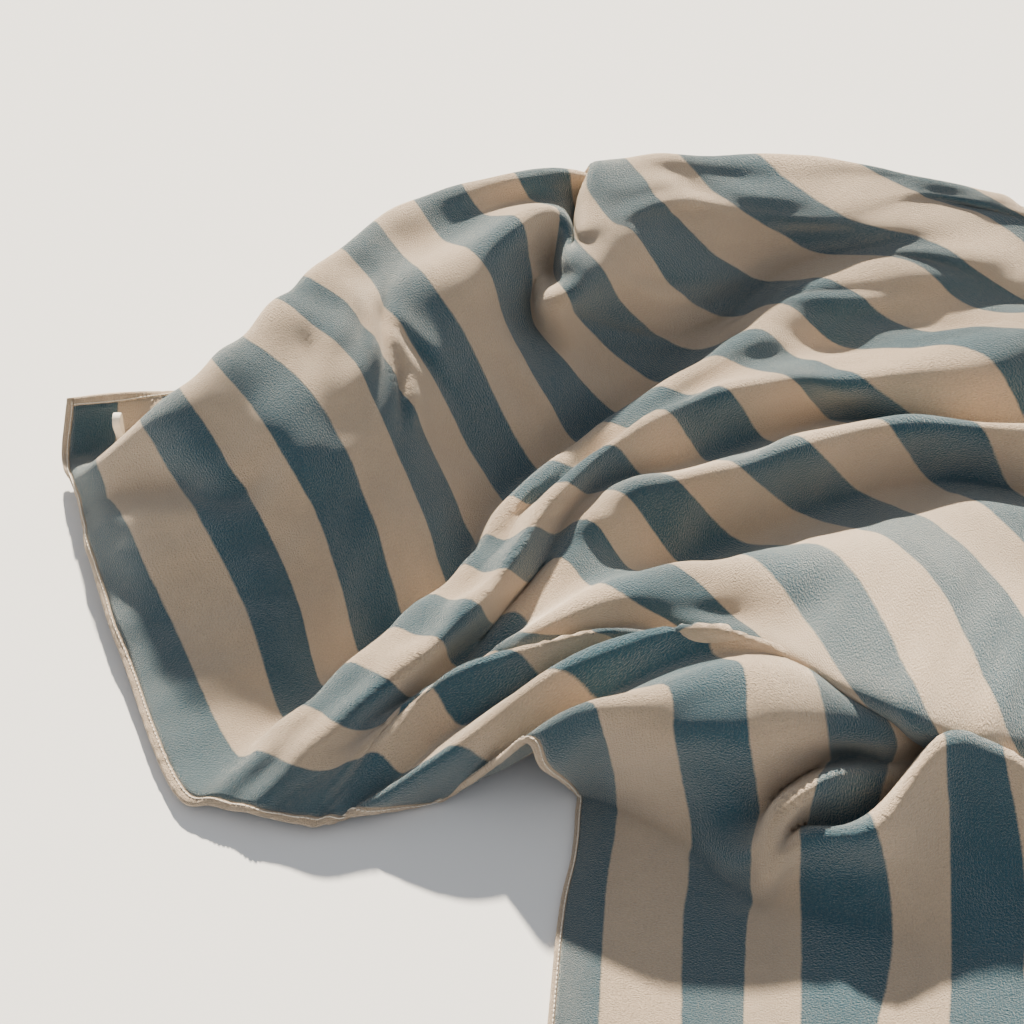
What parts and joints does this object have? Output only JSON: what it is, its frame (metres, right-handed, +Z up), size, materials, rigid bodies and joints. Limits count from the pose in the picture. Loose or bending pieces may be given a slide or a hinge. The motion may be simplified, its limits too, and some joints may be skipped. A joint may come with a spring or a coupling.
{
  "type": "hooded baby towel",
  "caption": "Striped terry towel with a sewn corner hood, turned hems and a hanging loop, left lying in loose folds.",
  "frame": {"origin": "centre of the plan of the laid towel, on the surface it lies on", "axes": "+Z up from the surface, +X across the stripes towards the hooded corner, -Y towards the near end hem"},
  "size_m": [1.0496, 0.6688, 0.1093],
  "materials": {
    "striped_terry": "cotton terry with a short velour pile, blue and cream stripes",
    "hem_cream": "cream cotton, turned and stitched",
    "binding_cream": "cream cotton tape, folded and stitched",
    "loop_tape": "pale woven cotton tape",
    "label_satin": "white satin ribbon, blank",
    "thread": "cream cotton sewing thread"
  },
  "bodies": {
    "towel": {"towel_panel": "striped_terry", "side_hem_left": "hem_cream", "side_hem_right": "hem_cream", "end_hem_far": "hem_cream", "end_hem_near": "hem_cream", "hood_panel": "striped_terry", "hood_front_binding": "binding_cream"},
    "loop": {"hanging_loop": "loop_tape"},
    "label": {"care_label": "label_satin"}
  },
  "joints": [
    {"name": "loop_swing", "type": "hinge", "parent": "towel", "child": "loop", "pos_m": [-0.48523, 0.06934, 0.02056], "axis": [1, 0, 0], "range_deg": [-20, 20]},
    {"name": "label_turn", "type": "hinge", "parent": "towel", "child": "label", "pos_m": [0.24467, 0.24239, 0.00077], "axis": [0.7465, -0.6654, 0], "range_deg": [0, 80]}
  ]
}
